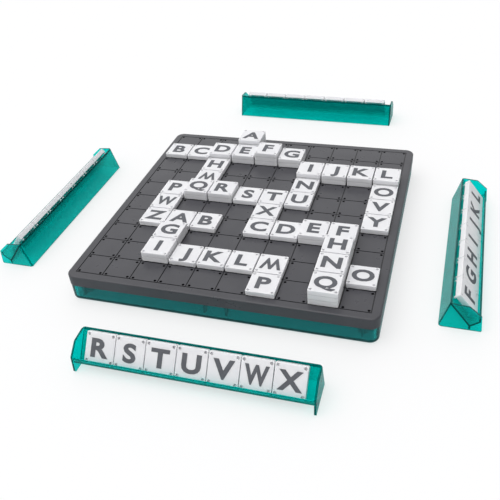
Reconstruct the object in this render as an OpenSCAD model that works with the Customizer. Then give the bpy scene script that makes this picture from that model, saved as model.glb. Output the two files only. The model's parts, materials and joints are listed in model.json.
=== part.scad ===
// Stacking word tile game: a storage tray with a socketed board as its lid, letter tiles and four tile racks.
// Millimetres, +Z up, +X to the board's right, +Y to its back, origin at the centre of the tray's underside.

/* [Tiles] */
// Side of a square tile
tile_side = 19; // [17:0.5:22]
// Thickness of a tile without its pegs
tile_thickness = 3.6; // [3:0.1:5]
// Corner radius of a tile seen from above
tile_corner_radius = 0.8; // [0.8:0.1:1.5]
// Radius of a tile's top edge
tile_edge_radius = 0.35; // [0.1:0.05:0.35]
// Radius of a peg under a tile
peg_radius = 0.8; // [0.6:0.05:1]
// Length of a peg under a tile
peg_length = 1.5; // [1:0.1:1.8]
// Distance from a peg's centre to the two nearest sides of its tile
peg_inset = 1.6; // [1.4:0.05:2.5]
// Room round a peg in its socket
peg_clearance = 0.15; // [0.12:0.01:0.25]
// Room below a peg in its socket
socket_floor_gap = 0.3; // [0.2:0.1:0.5]
// Air between two pieces that rest on each other
seat_gap = 0.1; // [0.08:0.01:0.15]

/* [Board] */
// Gap between tiles in neighbouring cells
tile_gap = 1; // [1:0.5:5]
// Border outside the outermost cells
board_margin = 5.5; // [5:0.5:12]
// Corner radius of the board seen from above
board_corner_radius = 6.5; // [5.5:0.5:10]
// Radius of the board's top edge
board_edge_radius = 1.2; // [0.6:0.1:1.6]
// Thickness of the board's top plate
plate_thickness = 2.6; // [2.4:0.1:3.5]
// Height of the board's edge from the skirt's foot to the playing face
skirt_height = 8.1; // [7:0.1:10]
// Wall of the skirt
skirt_wall = 1.8; // [1.4:0.1:2.4]
// Width of the scored lines between the cells
groove_width = 0.7; // [0.3:0.05:0.8]
// Depth of the scored lines
groove_depth = 0.5; // [0.2:0.05:0.6]
// How far the outermost scored line lies inside the border of the outer cells
outline_inset = 0.5; // [0:0.1:0.8]

/* [Board underside] */
// Radius of the four corner posts
post_radius = 4; // [3:0.5:6]
// Gap between a corner post and the tray's walls
post_wall_gap = 3; // [1:0.5:8]
// Thickness of the ribs that centre the board in the tray
rib_thickness = 1.2; // [0.8:0.1:2]
// How far a rib in the middle of a side reaches inwards
rib_width = 4; // [2:0.5:6]
// Distance between the two ribs in the middle of a side
rib_pair_spacing = 14.8; // [8:0.2:40]
// Gap between a rib and the tray's wall
rib_wall_gap = 0.4; // [0.3:0.1:1]
// Gap between the posts and ribs and the tray's floor
rib_floor_gap = 1.6; // [0.5:0.1:4]

/* [Storage tray] */
// Height of the shoulder that the skirt rests on
shoulder_height = 12.4; // [10:0.2:30]
// How far the tray's wall stands inside the skirt's outer face
tray_inset = 0.3; // [0.2:0.1:1]
// Thickness of the tray's floor
tray_floor = 1.8; // [1.2:0.1:3]
// Radius of the tray's bottom edge
tray_edge_radius = 2.2; // [1:0.1:2.8]
// Wall of the rim that stands inside the skirt
rim_wall = 1.4; // [1:0.1:2]
// Room between the rim and the skirt
rim_clearance = 0.3; // [0.2:0.05:0.5]
// Room between the rim's top and the board's plate
rim_top_gap = 1.2; // [0.6:0.1:2]

/* [Racks] */
// Number of tiles in a full rack
tiles_per_rack = 7; // [5:1:9]
// Gap between neighbouring tiles in a rack
rack_tile_gap = 0.5; // [0.3:0.1:1.5]
// Free length at each end of a full row of tiles
rack_end_room = 5.5; // [1:0.1:10]
// Thickness of a rack's long plates
rack_plate = 1.2; // [1:0.1:2]
// Thickness of a rack's end plates
end_plate = 1.3; // [1:0.1:2.5]
// Corner radius of the end plates
end_corner_radius = 1.2; // [0.8:0.1:1.6]
// Radius of the edges between a rack's back and its end plates
rack_edge_radius = 2.4; // [1:0.1:3]
// Depth of a rack at its feet
rack_depth = 26.2; // [25.6:0.1:31]
// Height of a rack's ridge
ridge_height = 19.4; // [18.6:0.1:24]
// Distance from the back foot to the ridge
ridge_setback = 6.2; // [4.5:0.1:7.5]
// Distance from the back foot to the corner where the tiles stand
seat_depth = 18.8; // [17.6:0.1:19.4]
// Height of the corner where the tiles stand
seat_height = 2.9; // [2:0.1:4]
// Length of the ledge that carries the tiles
ledge_length = 7; // [6.8:0.1:7.8]
// Height of the lip at the end of the ledge
lip_height = 2.9; // [2:0.1:5]
// Distance from the back foot to the top front corner of an end plate
end_top_depth = 18.2; // [15:0.1:20]
// Height of the top front corner of an end plate
end_top_height = 18.2; // [16:0.1:22]
// How far the end plates stand above the lip
end_front_rise = 2; // [0.5:0.1:4]
// How far the end plates stay below the ridge
end_ridge_drop = 0.3; // [0.2:0.05:0.5]
// How far the end plates stand out past the long plates at the feet and at the lip
end_overhang = 0.3; // [0.2:0.1:1]

/* [Rack places] */
// Gap between the board's front edge and the front rack
front_rack_gap = 34.6; // [10:0.1:100]
// Gap between the board's back edge and the rear rack
rear_rack_gap = 82.8; // [10:0.1:120]
// Gap between the board's right edge and the right rack
right_rack_gap = 33.4; // [10:0.1:100]
// Gap between the board's left edge and the left rack
left_rack_gap = 46.6; // [10:0.1:100]
// How far the front rack stands to the right of the board's middle
front_rack_shift = 5; // [-20:0.1:20]
// How far the rear rack stands to the right of the board's middle
rear_rack_shift = 1.4; // [-20:0.1:20]
// How far the right rack stands behind the board's middle
right_rack_shift = -5.3; // [-20:0.1:20]
// How far the left rack stands behind the board's middle
left_rack_shift = -4.3; // [-20:0.1:20]
// How far the front rack is turned out of line with the board, in degrees
front_rack_turn = 0.3; // [-10:0.1:10]
// How far the rear rack is turned out of line with the board, in degrees
rear_rack_turn = -1; // [-10:0.1:10]
// How far the right rack is turned out of line with the board, in degrees
right_rack_turn = -0.5; // [-10:0.1:10]

/* [Hidden] */
$fn = 48;
// How far a cut runs past the face that it opens
cut_margin = 1;
// How far a peg, post or rib reaches into the plate that carries it
root_depth = 0.5;
// How deep a rack's back plate is trimmed flat, so that it runs smoothly round the rack's edges
back_trim = 0.15;
// Tiles on each cell: one string for each row from back to front, with a dot for an empty cell
stack_map = [
  "...3......",
  "112232....",
  "..1...2222",
  "..1...1..1",
  ".122111..1",
  ".1...1...1",
  ".111.1122.",
  "..2.....3.",
  "..21111.31",
  "......1.3."
];
column_letters = "abcdefghij";
cells = len(stack_map);

// Sizes that follow from the values above
cell_pitch = tile_side + tile_gap;
grid_side = cells * cell_pitch;
board_side = grid_side + 2 * board_margin;
skirt_foot = shoulder_height + seat_gap;
board_top = skirt_foot + skirt_height;
plate_underside = board_top - plate_thickness;
peg_offset = tile_side / 2 - peg_inset;
socket_radius = peg_radius + peg_clearance;
socket_depth = peg_length + socket_floor_gap;
level_height = tile_thickness + seat_gap;
rim_offset = skirt_wall + rim_clearance;
cavity_offset = rim_offset + rim_wall;
cavity_half = board_side / 2 - cavity_offset;
rib_foot = tray_floor + rib_floor_gap;
rack_length = tiles_per_rack * tile_side + (tiles_per_rack - 1) * rack_tile_gap
  + 2 * rack_end_room + 2 * end_plate;

// Where each rack stands: its back foot's middle, and how far its front is turned from +Y
front_rack_place = [front_rack_shift, -board_side / 2 - front_rack_gap, 180 + front_rack_turn];
rear_rack_place = [rear_rack_shift, board_side / 2 + rear_rack_gap, rear_rack_turn];
right_rack_place = [board_side / 2 + right_rack_gap, right_rack_shift, right_rack_turn - 90];
left_rack_place = [-board_side / 2 - left_rack_gap, left_rack_shift, 90];

// Points of a rack's section, as distance from the back foot and height
plate_inset = end_overhang + rack_plate / 2;
back_foot = [plate_inset, plate_inset];
ridge = [ridge_setback, ridge_height - rack_plate / 2];
back_lean = atan2(ridge.x - back_foot.x, ridge.y - back_foot.y);
seat = [seat_depth, seat_height];
slope_angle = atan2(ridge.y - seat.y, seat.x - ridge.x);
slope_out = [sin(slope_angle), cos(slope_angle)];
slope_up = [-cos(slope_angle), sin(slope_angle)];
ledge_tip = seat + ledge_length * slope_out;
lip_top = ledge_tip + [0, lip_height - rack_plate / 2];
rib_end = [seat_depth, plate_inset];
seat_floor = seat + rack_plate / 2 * (slope_out + slope_up);

teal = [0, 0.62, 0.6, 0.75];
charcoal = [0.36, 0.36, 0.38];
white = [0.93, 0.93, 0.92];

// Square with rounded corners, drawn about its centre
module rounded_square(side, radius) {
  straight = side - 2 * radius;
  square([side, straight], center = true);
  square([straight, side], center = true);
  for (x = [-1, 1], y = [-1, 1]) {
    translate([x * straight / 2, y * straight / 2]) circle(radius);
  }
}

// Half of an edge profile: a block from the axis out to width, with its lower outer edge rounded
module rounded_edge(width, height, radius) {
  square([width - radius, height]);
  translate([0, radius]) square([width, height - radius]);
  translate([width - radius, radius]) circle(radius);
}

// Block on a rounded square with its bottom edge rounded all round
module rounded_block(side, height, corner, edge) {
  straight = side - 2 * corner;
  for (turn = [0:90:270]) {
    rotate(turn) {
      translate([straight / 2, straight / 2, 0]) {
        rotate_extrude(angle = 90) rounded_edge(corner, height, edge);
      }
      translate([0, straight / 2, 0]) {
        rotate([90, 0, 0]) linear_extrude(straight) rounded_edge(side / 2, height, edge);
      }
    }
  }
}

// The centres of the cells' four sockets, or of a tile's four pegs
module at_pegs() {
  for (x = [-peg_offset, peg_offset], y = [-peg_offset, peg_offset]) {
    translate([x, y, 0]) children();
  }
}

// Centre of a cell from its column and its row, both counted from zero at the front left
function cell_centre(column, row) = [
  (column + 0.5) * cell_pitch - grid_side / 2,
  (row + 0.5) * cell_pitch - grid_side / 2
];

module sockets() {
  for (column = [0:cells - 1], row = [0:cells - 1]) {
    translate(concat(cell_centre(column, row), board_top - socket_depth)) {
      at_pegs() cylinder(r = socket_radius, h = socket_depth + cut_margin);
    }
  }
}

// The scored lines: one between each pair of neighbouring rows and columns, and an outline round them all
module grooves() {
  outline = grid_side - 2 * outline_inset;
  depth = groove_depth + cut_margin;
  translate([0, 0, board_top - groove_depth]) {
    for (line = [1:cells - 1], turn = [0, 90]) {
      rotate(turn) translate([line * cell_pitch - grid_side / 2, 0, 0]) {
        translate([-groove_width / 2, -outline / 2, 0]) cube([groove_width, outline, depth]);
      }
    }
    for (turn = [0:90:270]) {
      rotate(turn) translate([-(outline + groove_width) / 2, -(outline + groove_width) / 2, 0]) {
        cube([groove_width, outline + groove_width, depth]);
      }
    }
  }
}

// Posts and ribs below the board that keep it centred in the tray
module underside_ribs() {
  rib_height = plate_underside - rib_foot + root_depth;
  post_centre = cavity_half - post_wall_gap - post_radius;
  rib_outer = cavity_half - rib_wall_gap;
  for (turn = [0:90:270]) {
    rotate(turn) translate([0, 0, rib_foot]) {
      translate([post_centre, post_centre, 0]) cylinder(r = post_radius, h = rib_height);
      for (x = [-post_centre, post_centre]) {
        translate([x - rib_thickness / 2, post_centre, 0]) {
          cube([rib_thickness, rib_outer - post_centre, rib_height]);
        }
      }
      for (x = [-rib_pair_spacing / 2, rib_pair_spacing / 2]) {
        translate([x - rib_thickness / 2, rib_outer - rib_width, 0]) {
          cube([rib_thickness, rib_width, rib_height]);
        }
      }
    }
  }
}

module storage_tray() {
  rim_height = skirt_height - plate_thickness - rim_top_gap;
  color(teal) difference() {
    union() {
      rounded_block(board_side - 2 * tray_inset, shoulder_height, board_corner_radius - tray_inset,
        tray_edge_radius);
      translate([0, 0, tray_floor]) {
        linear_extrude(shoulder_height - tray_floor + rim_height) {
          rounded_square(board_side - 2 * rim_offset, board_corner_radius - rim_offset);
        }
      }
    }
    translate([0, 0, tray_floor]) {
      linear_extrude(shoulder_height + rim_height) {
        rounded_square(2 * cavity_half, board_corner_radius - cavity_offset);
      }
    }
  }
}

module board() {
  color(charcoal) difference() {
    union() {
      difference() {
        translate([0, 0, board_top]) mirror([0, 0, 1]) {
          rounded_block(board_side, skirt_height, board_corner_radius, board_edge_radius);
        }
        translate([0, 0, skirt_foot - cut_margin]) {
          linear_extrude(plate_underside - skirt_foot + cut_margin) {
            rounded_square(board_side - 2 * skirt_wall, board_corner_radius - skirt_wall);
          }
        }
      }
      underside_ribs();
    }
    sockets();
    grooves();
  }
}

// One tile, with the foot of its body at z = 0 and its pegs below
module tile() {
  difference() {
    translate([0, 0, tile_thickness]) mirror([0, 0, 1]) {
      rounded_block(tile_side, tile_thickness, tile_corner_radius, tile_edge_radius);
    }
    translate([0, 0, tile_thickness - socket_depth]) {
      at_pegs() cylinder(r = socket_radius, h = socket_depth + cut_margin);
    }
  }
  at_pegs() translate([0, 0, -peg_length]) cylinder(r = peg_radius, h = peg_length + root_depth);
}

// The tiles on one cell, named by its column letter and its row number from the front
module tile_stack(letter, number) {
  column = search(letter, column_letters)[0];
  count = ord(stack_map[cells - number][column]) - ord("0");
  color(white) translate(concat(cell_centre(column, number - 1), board_top + seat_gap)) {
    for (level = [0:count - 1]) {
      translate([0, 0, level * level_height]) tile();
    }
  }
}

module stack_d10() tile_stack("d", 10);
module tile_a9() tile_stack("a", 9);
module tile_b9() tile_stack("b", 9);
module stack_c9() tile_stack("c", 9);
module stack_d9() tile_stack("d", 9);
module stack_e9() tile_stack("e", 9);
module stack_f9() tile_stack("f", 9);
module tile_c8() tile_stack("c", 8);
module stack_g8() tile_stack("g", 8);
module stack_h8() tile_stack("h", 8);
module stack_i8() tile_stack("i", 8);
module stack_j8() tile_stack("j", 8);
module tile_c7() tile_stack("c", 7);
module tile_g7() tile_stack("g", 7);
module tile_j7() tile_stack("j", 7);
module tile_b6() tile_stack("b", 6);
module stack_c6() tile_stack("c", 6);
module stack_d6() tile_stack("d", 6);
module tile_e6() tile_stack("e", 6);
module tile_f6() tile_stack("f", 6);
module tile_g6() tile_stack("g", 6);
module tile_j6() tile_stack("j", 6);
module tile_b5() tile_stack("b", 5);
module tile_f5() tile_stack("f", 5);
module tile_j5() tile_stack("j", 5);
module tile_b4() tile_stack("b", 4);
module tile_c4() tile_stack("c", 4);
module tile_d4() tile_stack("d", 4);
module tile_f4() tile_stack("f", 4);
module tile_g4() tile_stack("g", 4);
module stack_h4() tile_stack("h", 4);
module stack_i4() tile_stack("i", 4);
module stack_c3() tile_stack("c", 3);
module stack_i3() tile_stack("i", 3);
module stack_c2() tile_stack("c", 2);
module tile_d2() tile_stack("d", 2);
module tile_e2() tile_stack("e", 2);
module tile_f2() tile_stack("f", 2);
module tile_g2() tile_stack("g", 2);
module stack_i2() tile_stack("i", 2);
module tile_j2() tile_stack("j", 2);
module tile_g1() tile_stack("g", 1);
module stack_i1() tile_stack("i", 1);

// Plates seen from their ends: bars of one thickness from point to point, with round joints and ends
module plates(points, thickness) {
  for (point = points) {
    translate(point) circle(thickness / 2);
  }
  for (i = [1:len(points) - 1]) {
    run = points[i] - points[i - 1];
    translate(points[i - 1]) rotate(atan2(run.y, run.x)) {
      translate([0, -thickness / 2]) square([norm(run), thickness]);
    }
  }
}

module rack_section() {
  plates([back_foot, ridge, seat, ledge_tip, lip_top], rack_plate);
  plates([seat, rib_end], rack_plate);
}

// Outline of an end plate with round corners
module end_outline() {
  r = end_corner_radius;
  corners = [
    [r, r],
    ridge + [0, rack_plate / 2 - end_ridge_drop - r],
    [end_top_depth - r, end_top_height - r],
    lip_top + [plate_inset - r, rack_plate / 2 + end_front_rise - r],
    [rack_depth - r, r]
  ];
  polygon(corners);
  plates(concat(corners, [corners[0]]), 2 * r);
}

// A section drawn as distance from the back foot and height, made solid along the rack
module along_rack(length) {
  rotate([90, 0, 90]) linear_extrude(length, center = true) children();
}

module at_place(place) {
  translate([place.x, place.y, 0]) rotate(place.z) children();
}

// The room that a rack fills: its ends are upright, its back leans, and the edges between them are round
module rack_envelope() {
  r = rack_edge_radius;
  straight = rack_length - 2 * r;
  reach = 2 * rack_depth;
  translate([0, back_foot.x, back_foot.y]) rotate([-back_lean, 0, 0]) {
    translate([0, back_trim - rack_plate / 2, -reach]) linear_extrude(2 * reach) {
      translate([-rack_length / 2, r]) square([rack_length, reach]);
      translate([-straight / 2, 0]) square([straight, reach]);
      for (x = [-straight / 2, straight / 2]) {
        translate([x, r]) circle(r);
      }
    }
  }
}

// A rack, with its plates and ends cut off where its room ends
module rack(place) {
  color(teal) at_place(place) intersection() {
    rack_envelope();
    union() {
      along_rack(rack_length + 4 * cut_margin) rack_section();
      for (side = [-1, 1]) {
        translate([side * (rack_length - end_plate + cut_margin) / 2, 0, 0]) {
          along_rack(end_plate + cut_margin) end_outline();
        }
      }
    }
  }
}

// The tiles in a rack, leaning on its slope with their pegs towards it and standing on its ledge
module rack_tiles(place) {
  step = tile_side + rack_tile_gap;
  color(white) at_place(place) {
    translate([0, seat_floor.x, seat_floor.y]) rotate([-slope_angle, 0, 0]) {
      for (i = [0:tiles_per_rack - 1]) {
        along = (i - (tiles_per_rack - 1) / 2) * step;
        translate([along, -seat_gap - tile_side / 2, seat_gap + peg_length]) tile();
      }
    }
  }
}

module front_rack() rack(front_rack_place);
module rear_rack() rack(rear_rack_place);
module right_rack() rack(right_rack_place);
module left_rack() rack(left_rack_place);
module front_rack_tiles() rack_tiles(front_rack_place);
module rear_rack_tiles() rack_tiles(rear_rack_place);
module right_rack_tiles() rack_tiles(right_rack_place);
module left_rack_tiles() rack_tiles(left_rack_place);

storage_tray();
board();
stack_d10();
tile_a9();
tile_b9();
stack_c9();
stack_d9();
stack_e9();
stack_f9();
tile_c8();
stack_g8();
stack_h8();
stack_i8();
stack_j8();
tile_c7();
tile_g7();
tile_j7();
tile_b6();
stack_c6();
stack_d6();
tile_e6();
tile_f6();
tile_g6();
tile_j6();
tile_b5();
tile_f5();
tile_j5();
tile_b4();
tile_c4();
tile_d4();
tile_f4();
tile_g4();
stack_h4();
stack_i4();
stack_c3();
stack_i3();
stack_c2();
tile_d2();
tile_e2();
tile_f2();
tile_g2();
stack_i2();
tile_j2();
tile_g1();
stack_i1();
front_rack();
rear_rack();
right_rack();
left_rack();
front_rack_tiles();
rear_rack_tiles();
right_rack_tiles();
left_rack_tiles();
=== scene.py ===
import json
import math
import string

import bpy
from mathutils import Matrix, Vector


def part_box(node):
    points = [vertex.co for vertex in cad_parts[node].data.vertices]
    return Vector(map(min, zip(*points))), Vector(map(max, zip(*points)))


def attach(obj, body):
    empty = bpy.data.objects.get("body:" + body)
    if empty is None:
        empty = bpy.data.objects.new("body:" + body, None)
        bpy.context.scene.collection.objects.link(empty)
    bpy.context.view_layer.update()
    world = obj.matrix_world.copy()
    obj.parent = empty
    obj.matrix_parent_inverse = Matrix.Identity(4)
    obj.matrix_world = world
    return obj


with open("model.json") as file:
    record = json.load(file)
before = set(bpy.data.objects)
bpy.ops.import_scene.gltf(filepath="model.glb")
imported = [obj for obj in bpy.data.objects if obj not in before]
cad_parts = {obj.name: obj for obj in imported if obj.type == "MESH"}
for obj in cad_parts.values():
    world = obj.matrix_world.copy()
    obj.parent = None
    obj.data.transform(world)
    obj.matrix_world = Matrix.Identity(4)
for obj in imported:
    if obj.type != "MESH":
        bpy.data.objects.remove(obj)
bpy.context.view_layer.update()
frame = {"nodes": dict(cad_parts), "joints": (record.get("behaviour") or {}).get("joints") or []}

# Sizes, in metres
MM = 0.001
BOARD_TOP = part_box("board")[1].z
PLATE_THICKNESS = 2.6 * MM
# Half the side of the square that holds the scored lines and the sockets
GROOVED_HALF = 103 * MM
# Whatever lies deeper than this below the board's face, inside its plate, is a scored line or a socket
FACE_DEPTH = 0.15 * MM
# Gap below the lowest tile, rise from one tile of a stack to the next, and height of the painted shade at its
# foot
SEAT_GAP = 0.1 * MM
LEVEL_HEIGHT = 3.7 * MM
PAINTED_SHADE_HEIGHT = 0.4 * MM
# A letter's height, greatest width, thickening on each side of a stroke, and thickness of ink
LETTER_HEIGHT = 11.5 * MM
LETTER_WIDTH = 14.5 * MM
LETTER_BOLDNESS = 0.55 * MM
INK_THICKNESS = 0.04 * MM
# How much a narrow letter is widened, and a capital's height as a share of the font size
LETTER_STRETCH = 1.2
CAPITAL_SHARE = 0.682
# How far the floor lies below the part, and half its side
FLOOR_DROP = 0.2 * MM
FLOOR_HALF = 4

RACKS = ("front_rack", "rear_rack", "right_rack", "left_rack")
TILES_PER_RACK = 7
ALPHABET = string.ascii_uppercase


def reading_order(name):
    """Sorts the cells as a page is read, from the back row's left end."""
    cell = name.split("_")[1]
    return -int(cell[1:]), cell[0]


TILE_PLACES = sorted((n for n in frame["nodes"] if n.startswith(("tile_", "stack_"))), key=reading_order)


# Colours
def colour(red, green, blue):
    """A screen colour, 0 to 255 in each channel, as the shaders' linear colour."""
    def linear(value):
        value /= 255
        return value / 12.92 if value < 0.04045 else ((value + 0.055) / 1.055) ** 2.4
    return linear(red), linear(green), linear(blue), 1


WHITE = (1, 1, 1, 1)
TILE_WHITES = colour(226, 226, 229), colour(231, 231, 233)
# Painted shade along the foot of a tile that stands on another
TILE_FOOT_PAINTED_SHADE = colour(209, 210, 213)
BOARD_GREYS = colour(64, 64, 69), colour(70, 70, 75)
# Painted shade inside the board's scored lines and sockets
BOARD_SUNK_PAINTED_SHADE = colour(24, 24, 28)
INK_GREYS = colour(80, 82, 88), colour(90, 92, 98)
# Teal plastic, at its face and in its depth: the racks pass no red light, the tray a little
RACK_FACE = (0, 0.74, 0.7, 1)
RACK_DEPTH = (0, 0.95, 0.943, 1)
TRAY_FACE = (0.22, 0.7, 0.74, 1)
TRAY_DEPTH = (0.7, 0.95, 0.943, 1)
TEAL_GLOSS = (0, 1, 1, 1)
TEAL_SHADOW = (0, 0.97, 0.94, 1)
TEAL_CLEARNESS = 0.94
TEAL_DENSITY = 2000
TEAL_IOR = 1.5
# The floor as it is lit, as it is seen, and as the part mirrors it
FLOOR_LIT = colour(246, 246, 247)
FLOOR_SEEN = colour(252, 252, 252)
FLOOR_MIRRORED = colour(118, 145, 147)
FLOOR_ROUGHNESS = 0.9


# Materials
class Nodes:
    """Adds nodes to the node tree of a material or of the world."""

    def __init__(self, tree):
        self.tree = tree

    def add(self, kind):
        return self.tree.nodes.new(kind)

    def feed(self, socket, value):
        """Sets a socket to a constant, or links another node's output to it."""
        if isinstance(value, bpy.types.NodeSocket):
            self.tree.links.new(value, socket)
        else:
            socket.default_value = value

    def rays(self):
        """Outputs that tell which kind of ray arrives."""
        return self.add("ShaderNodeLightPath").outputs

    def split(self, vector):
        """The x, y and z of a vector."""
        node = self.add("ShaderNodeSeparateXYZ")
        self.feed(node.inputs[0], vector)
        return node.outputs

    def math(self, operation, *values):
        node = self.add("ShaderNodeMath")
        node.operation = operation
        for socket, value in zip(node.inputs, values):
            self.feed(socket, value)
        return node.outputs[0]


class Paint(Nodes):
    """One material: a Principled shader and the nodes that give its surface detail."""

    # The range that most of the noise lies in
    NOISE_LOW = 0.3
    NOISE_HIGH = 0.7

    def __init__(self, name):
        self.material = bpy.data.materials.new(name)
        self.material.use_nodes = True
        super().__init__(self.material.node_tree)
        self.shader = self.tree.nodes["Principled BSDF"]
        self.output = self.tree.nodes["Material Output"]

    def set(self, name, value):
        """Sets one of the shader's inputs, or links it."""
        self.feed(self.shader.inputs[name], value)

    def place(self):
        """The point on the object."""
        return self.add("ShaderNodeTexCoord").outputs["Object"]

    def noise(self, size, detail=2):
        """Cloudy noise with spots of the given size."""
        node = self.add("ShaderNodeTexNoise")
        self.feed(node.inputs["Vector"], self.place())
        self.feed(node.inputs["Scale"], 1 / size)
        self.feed(node.inputs["Detail"], detail)
        return node.outputs[0]

    def ranged(self, value, low, high):
        """Noise spread over a range of values."""
        node = self.add("ShaderNodeMapRange")
        self.feed(node.inputs["Value"], value)
        self.feed(node.inputs["From Min"], self.NOISE_LOW)
        self.feed(node.inputs["From Max"], self.NOISE_HIGH)
        self.feed(node.inputs["To Min"], low)
        self.feed(node.inputs["To Max"], high)
        return node.outputs[0]

    def mixed(self, share, first, second):
        """Two colours, mixed by a share from 0 to 1. Each is a colour or another node's output."""
        node = self.add("ShaderNodeMix")
        node.data_type = "RGBA"
        self.feed(node.inputs["Factor"], share)
        for socket, value in zip(node.inputs[6:8], (first, second)):
            self.feed(socket, value)
        return node.outputs[2]

    def clouds(self, size, tones):
        """Two tones in cloudy patches of the given size."""
        return self.mixed(self.ranged(self.noise(size), 0, 1), *tones)

    def roughness(self, size, low, high):
        self.set("Roughness", self.ranged(self.noise(size, detail=4), low, high))

    def grain(self, size, depth):
        """Fine relief left by the mould."""
        bump = self.add("ShaderNodeBump")
        self.feed(bump.inputs["Distance"], depth)
        self.feed(bump.inputs["Height"], self.noise(size))
        self.set("Normal", bump.outputs["Normal"])

    def show_also(self, second, share):
        """Mixes a second shader into the Principled one, by a share from 0 to 1."""
        mix = self.add("ShaderNodeMixShader")
        for socket, value in zip(mix.inputs, (share, self.shader.outputs[0], second)):
            self.feed(socket, value)
        self.feed(self.output.inputs["Surface"], mix.outputs[0])


def tile_plastic():
    """Satin white, with painted shade along the foot of each tile that stands on another one."""
    paint = Paint("tile_plastic")
    # Painted shade: a darker band at the foot of every tile that stands on another, standing in for the shade
    # where stacked tiles meet
    height = paint.math("SUBTRACT", paint.split(paint.place())["Z"], BOARD_TOP + SEAT_GAP)
    on_tile = paint.math("GREATER_THAN", height, LEVEL_HEIGHT / 2)
    at_foot = paint.math("LESS_THAN", paint.math("MODULO", height, LEVEL_HEIGHT), PAINTED_SHADE_HEIGHT)
    in_painted_shade = paint.math("MULTIPLY", on_tile, at_foot)
    white = paint.clouds(size=14 * MM, tones=TILE_WHITES)
    paint.set("Base Color", paint.mixed(in_painted_shade, white, TILE_FOOT_PAINTED_SHADE))
    paint.set("Subsurface Weight", 1)
    paint.set("Subsurface Radius", (1, 1, 1))
    paint.set("Subsurface Scale", 1.2 * MM)
    paint.roughness(size=3 * MM, low=0.34, high=0.44)
    paint.grain(size=0.5 * MM, depth=0.004 * MM)
    return paint.material


def board_plastic():
    """Satin charcoal, with painted shade inside the scored lines and sockets of the plate."""
    paint = Paint("board_plastic")
    x, y, z = paint.split(paint.place())
    # Painted shade: the scored lines and sockets inside the grooved square are coloured darker, standing in
    # for the shade in these recesses
    below_face = paint.math("LESS_THAN", z, BOARD_TOP - FACE_DEPTH)
    in_plate = paint.math("GREATER_THAN", z, BOARD_TOP - PLATE_THICKNESS)
    reach = paint.math("MAXIMUM", paint.math("ABSOLUTE", x), paint.math("ABSOLUTE", y))
    in_grid = paint.math("LESS_THAN", reach, GROOVED_HALF)
    sunk_painted_shade = paint.math("MULTIPLY", paint.math("MULTIPLY", below_face, in_plate), in_grid)
    charcoal = paint.clouds(size=20 * MM, tones=BOARD_GREYS)
    paint.set("Base Color", paint.mixed(sunk_painted_shade, charcoal, BOARD_SUNK_PAINTED_SHADE))
    paint.roughness(size=6 * MM, low=0.27, high=0.35)
    paint.grain(size=0.4 * MM, depth=0.006 * MM)
    return paint.material


def teal_plastic(name, face, depth):
    """Clear plastic that takes up red light: pale through a wall, dark along an edge, with a teal shadow."""
    paint = Paint(name)
    paint.set("Base Color", face)
    paint.set("Transmission Weight", TEAL_CLEARNESS)
    paint.set("IOR", TEAL_IOR)
    paint.set("Specular Tint", TEAL_GLOSS)
    paint.roughness(size=8 * MM, low=0.14, high=0.2)
    paint.grain(size=5 * MM, depth=0.01 * MM)
    inside = paint.add("ShaderNodeVolumeAbsorption")
    paint.feed(inside.inputs["Color"], depth)
    paint.feed(inside.inputs["Density"], TEAL_DENSITY)
    paint.feed(paint.output.inputs["Volume"], inside.outputs[0])
    clear = paint.add("ShaderNodeBsdfTransparent")
    paint.feed(clear.inputs["Color"], TEAL_SHADOW)
    paint.show_also(clear.outputs[0], share=paint.rays()["Is Shadow Ray"])
    return paint.material


def letter_ink():
    """Matt dark grey print."""
    paint = Paint("letter_ink")
    paint.set("Base Color", paint.clouds(size=4 * MM, tones=INK_GREYS))
    paint.roughness(size=1.5 * MM, low=0.45, high=0.6)
    paint.grain(size=0.3 * MM, depth=0.004 * MM)
    return paint.material


def coat(name, material):
    slots = frame["nodes"][name].data.materials
    slots.clear()
    slots.append(material)


TILE = tile_plastic()
RACK = teal_plastic("rack_plastic", RACK_FACE, RACK_DEPTH)
INK = letter_ink()
coat("board", board_plastic())
coat("storage_tray", teal_plastic("tray_plastic", TRAY_FACE, TRAY_DEPTH))
for rack in RACKS:
    coat(rack, RACK)
    coat(rack + "_tiles", TILE)
for place in TILE_PLACES:
    coat(place, TILE)


# Letters, plain capitals that run through the alphabet in order
def letter_mesh(letter):
    """A thin bold capital lying on z = 0, centred, one LETTER_HEIGHT tall. An M is a W upside down."""
    curve = bpy.data.curves.new("glyph", "FONT")
    curve.body = "W" if letter == "M" else letter
    curve.size = (LETTER_HEIGHT - 2 * LETTER_BOLDNESS) / CAPITAL_SHARE
    curve.offset = LETTER_BOLDNESS
    curve.extrude = INK_THICKNESS / 2
    curve.resolution_u = 4
    glyph = bpy.data.objects.new("glyph", curve)
    bpy.context.scene.collection.objects.link(glyph)
    bpy.context.view_layer.update()
    mesh = bpy.data.meshes.new_from_object(glyph.evaluated_get(bpy.context.evaluated_depsgraph_get()))
    bpy.data.objects.remove(glyph)
    left = min(v.co.x for v in mesh.vertices)
    right = max(v.co.x for v in mesh.vertices)
    middle = Vector(((left + right) / 2, LETTER_HEIGHT / 2 - LETTER_BOLDNESS, -INK_THICKNESS / 2))
    mesh.transform(Matrix.Translation(-middle))
    widening = min(LETTER_STRETCH, LETTER_WIDTH / (right - left))
    mesh.transform(Matrix.Diagonal((widening, 1, 1, 1)))
    if letter == "M":
        mesh.transform(Matrix.Rotation(math.pi, 4, "Z"))
    return mesh


GLYPHS = {letter: letter_mesh(letter) for letter in ALPHABET}


def letter_at(number):
    return ALPHABET[number % len(ALPHABET)]


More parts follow.
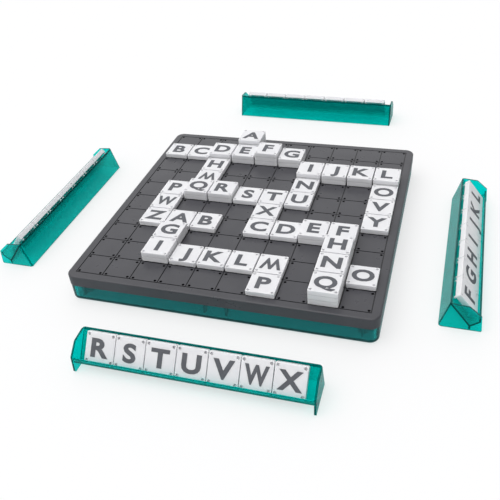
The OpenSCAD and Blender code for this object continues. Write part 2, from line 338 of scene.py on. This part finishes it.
def printed(name, body, letters):
    """One mesh with each (letter, matrix) in its place, moving with a body."""
    points, faces = [], []
    for letter, matrix in letters:
        glyph = GLYPHS[letter]
        first = len(points)
        points += [matrix @ v.co for v in glyph.vertices]
        faces += [[first + i for i in face.vertices] for face in glyph.polygons]
    mesh = bpy.data.meshes.new(name)
    mesh.from_pydata(points, [], faces)
    mesh.materials.append(INK)
    piece = bpy.data.objects.new(name, mesh)
    bpy.context.scene.collection.objects.link(piece)
    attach(piece, body)


for number, place in enumerate(TILE_PLACES):
    low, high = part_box(place)
    centre = (low + high) / 2
    spot = Matrix.Translation((centre.x, centre.y, high.z))
    printed("letter_" + place.split("_")[1], place, [(letter_at(number), spot)])


def rack_spots(row):
    """The face of each tile in a rack's row: its right, up the slope, and out of the face."""
    up = next(Vector(joint["axis"]) for joint in frame["joints"] if joint["child"] == row)
    right = up.cross(Vector((0, 0, 1))).normalized()
    out = right.cross(up)
    points = [v.co for v in frame["nodes"][row].data.vertices]
    across = [p.dot(right) for p in points]
    along = [p.dot(up) for p in points]
    face = max(p.dot(out) for p in points)
    side = max(along) - min(along)
    step = (max(across) - min(across) - side) / (TILES_PER_RACK - 1)
    turn = Matrix((right, up, out)).transposed().to_4x4()
    for i in range(TILES_PER_RACK):
        spot = Vector((min(across) + side / 2 + i * step, min(along) + side / 2, face))
        yield turn @ Matrix.Translation(spot)


for rack in RACKS:
    number = len(TILE_PLACES) + RACKS.index(rack) * TILES_PER_RACK
    row = rack + "_tiles"
    letters = [(letter_at(number + i), spot) for i, spot in enumerate(rack_spots(row))]
    printed(rack + "_letters", row, letters)


# Light, floor and camera
# The tent's strength overhead, its gain towards the front and the back, its slant, and what the camera sees
TENT_OVERHEAD = 0.48
TENT_ENDS = 0.3
TENT_SLANT = (-0.32, 0.18, 0)
TENT_SEEN = 1
# The sun's width is in degrees
SUN_STRENGTH = 1.7
SUN_WIDTH = 80
SUN_DIRECTION = (0.08, 0.2, -0.9)
# Share of plain colour in the floor: to the camera, through the plastic, and mirrored in the part
PLAIN_SEEN = 0.6
PLAIN_THROUGH = 0.25
PLAIN_MIRRORED = 0.7
# The camera's place and nearest sight are in metres, its angles in degrees, lens and sensor in millimetres
CAMERA_PLACE = (0.1305, -0.3906, 0.2881)
CAMERA_NEAREST = 0.01
CAMERA_AZIMUTH = 19.66
CAMERA_ELEVATION = 36.78
CAMERA_ROLL = 5.13
CAMERA_LENS = 46.84
CAMERA_SENSOR = 36


def add_world():
    """A soft white tent, strongest behind and on the left and weakest on the right. The camera sees white."""
    world = bpy.data.worlds.new("tent")
    world.use_nodes = True
    bpy.context.scene.world = world
    nodes = Nodes(world.node_tree)
    direction = nodes.add("ShaderNodeTexCoord").outputs["Generated"]
    slant = nodes.add("ShaderNodeVectorMath")
    slant.operation = "DOT_PRODUCT"
    nodes.feed(slant.inputs[0], direction)
    nodes.feed(slant.inputs[1], TENT_SLANT)
    depth = nodes.math("ABSOLUTE", nodes.split(direction)["Y"])
    ends = nodes.math("MULTIPLY_ADD", depth, TENT_ENDS, TENT_OVERHEAD)
    level = nodes.math("ADD", slant.outputs["Value"], ends)
    seen = nodes.add("ShaderNodeMix")
    nodes.feed(seen.inputs["Factor"], nodes.rays()["Is Camera Ray"])
    nodes.feed(seen.inputs["A"], level)
    nodes.feed(seen.inputs["B"], TENT_SEEN)
    background = nodes.tree.nodes["Background"]
    nodes.feed(background.inputs["Color"], WHITE)
    nodes.feed(background.inputs["Strength"], seen.outputs[0])


def add_sun():
    lamp = bpy.data.lights.new("soft_light", "SUN")
    lamp.energy = SUN_STRENGTH
    lamp.angle = math.radians(SUN_WIDTH)
    sun = bpy.data.objects.new("soft_light", lamp)
    sun.rotation_mode = "QUATERNION"
    sun.rotation_quaternion = Vector(SUN_DIRECTION).to_track_quat("-Z", "Y")
    bpy.context.scene.collection.objects.link(sun)


def add_floor():
    """A matt white floor, plainer to the camera, and greyer and faintly teal where the part mirrors it."""
    square = ((-1, -1), (1, -1), (1, 1), (-1, 1))
    corners = [(x * FLOOR_HALF, y * FLOOR_HALF, -FLOOR_DROP) for x, y in square]
    mesh = bpy.data.meshes.new("floor")
    mesh.from_pydata(corners, [], [(0, 1, 2, 3)])
    paint = Paint("floor")
    paint.set("Base Color", FLOOR_LIT)
    paint.set("Roughness", FLOOR_ROUGHNESS)
    rays = paint.rays()
    through = rays["Is Transmission Ray"]
    mirrored = paint.math("GREATER_THAN", rays["Is Glossy Ray"], through)
    plain = paint.add("ShaderNodeEmission")
    paint.feed(plain.inputs["Color"], paint.mixed(mirrored, FLOOR_SEEN, FLOOR_MIRRORED))
    share = paint.math("MULTIPLY", rays["Is Camera Ray"], PLAIN_SEEN)
    share = paint.math("MULTIPLY_ADD", through, PLAIN_THROUGH, share)
    share = paint.math("MULTIPLY_ADD", mirrored, PLAIN_MIRRORED, share)
    paint.show_also(plain.outputs[0], share)
    mesh.materials.append(paint.material)
    floor = bpy.data.objects.new("floor", mesh)
    bpy.context.scene.collection.objects.link(floor)


def add_camera():
    data = bpy.data.cameras.new("camera")
    data.sensor_width = CAMERA_SENSOR
    data.lens = CAMERA_LENS
    data.clip_start = CAMERA_NEAREST
    camera = bpy.data.objects.new("camera", data)
    turn = Matrix.Rotation(math.radians(CAMERA_AZIMUTH), 4, "Z")
    tilt = Matrix.Rotation(math.radians(90 - CAMERA_ELEVATION), 4, "X")
    lean = Matrix.Rotation(math.radians(-CAMERA_ROLL), 4, "Z")
    camera.matrix_world = Matrix.Translation(CAMERA_PLACE) @ turn @ tilt @ lean
    bpy.context.scene.collection.objects.link(camera)
    bpy.context.scene.camera = camera


add_world()
add_sun()
add_floor()
add_camera()
bpy.context.scene.view_settings.view_transform = "Standard"
